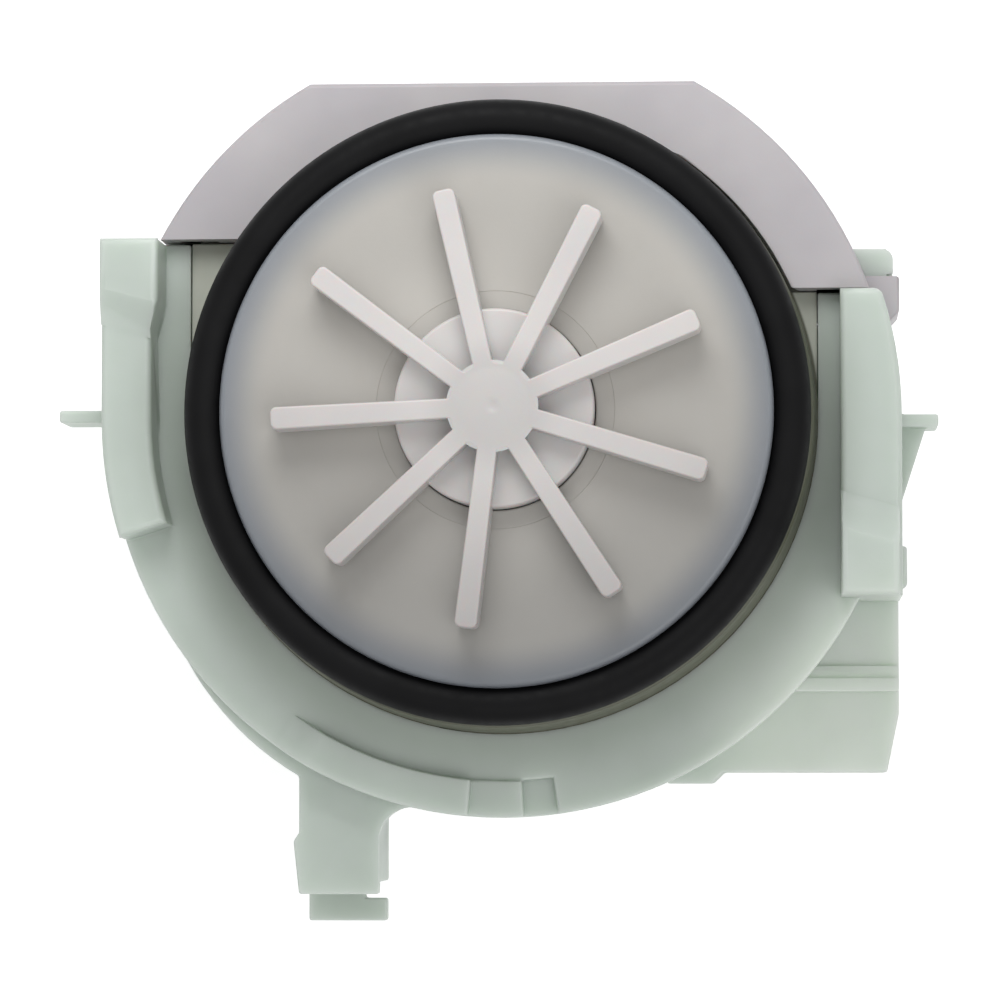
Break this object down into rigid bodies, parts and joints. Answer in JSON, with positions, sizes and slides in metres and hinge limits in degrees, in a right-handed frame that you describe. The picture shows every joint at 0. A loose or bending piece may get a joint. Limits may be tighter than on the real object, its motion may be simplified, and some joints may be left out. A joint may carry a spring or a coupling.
{
  "type": "dishwasher drain pump",
  "caption": "Flat-backed drain pump with a straight-bladed impeller on a sealed round spigot, bayonet lugs, a foot latch and a side connector socket.",
  "frame": {"origin": "on the rotor axis, in the plane of the mounting flange's front face", "axes": "+Z along the rotor axis out of the front, +X to the right and +Y up as seen from the front"},
  "size_m": [0.0936, 0.0889, 0.0568],
  "materials": {
    "mint_pp": "satin, slightly translucent",
    "cover_pp": "satin",
    "body_pp": "satin",
    "disc_pp": "satin, translucent",
    "impeller_pp": "satin",
    "seal_epdm": "matte",
    "inner_seal_epdm": "matte",
    "seat_rubber": "matte",
    "bush_carbon": "smooth",
    "shaft_steel": "ground",
    "core_steel": "stamped laminations",
    "rivet_steel": "zinc plated",
    "bobbin_pbt": "satin",
    "pin_brass": "tinned",
    "winding_copper": "enamelled wire",
    "tape_film": "film",
    "cutout_shell": "moulded",
    "blade_brass": "tinned",
    "lead_pvc": "extruded",
    "sleeve_ppo": "moulded",
    "magnet_ferrite": "sintered",
    "washer_ptfe": "smooth",
    "dog_pom": "moulded",
    "pad_rubber": "matte"
  },
  "bodies": {
    "pump": {"cradle_housing": "mint_pp", "stator_cover": "cover_pp", "pump_body": "body_pp", "front_cover": "disc_pp", "sealing_ring": "seal_epdm", "inner_seal": "inner_seal_epdm", "front_bearing": "bush_carbon", "front_bearing_seat": "seat_rubber", "rear_bearing": "bush_carbon", "rear_bearing_seat": "seat_rubber", "stator_core": "core_steel", "core_rivets": "rivet_steel", "coil_bobbin": "bobbin_pbt", "bobbin_pins": "pin_brass", "coil_winding": "winding_copper", "insulation_tape": "tape_film", "thermal_cutout": "cutout_shell", "contact_blades": "blade_brass", "lead_wires": "lead_pvc"},
    "rotor": {"rotor_shaft": "shaft_steel", "rotor_sleeve": "sleeve_ppo", "rotor_magnet": "magnet_ferrite", "thrust_washers": "washer_ptfe", "drive_dog": "dog_pom", "damper_pads": "pad_rubber"},
    "impeller_group": {"impeller": "impeller_pp", "coupling_lid": "impeller_pp"}
  },
  "joints": [
    {"name": "rotor_spin", "type": "hinge", "parent": "pump", "child": "rotor", "pos_m": [0, 0, 0], "axis": [0, 0, 1], "continuous": true},
    {"name": "impeller_lash", "type": "hinge", "parent": "rotor", "child": "impeller_group", "pos_m": [0, 0, 0], "axis": [0, 0, 1], "range_deg": [-114, 114]}
  ]
}
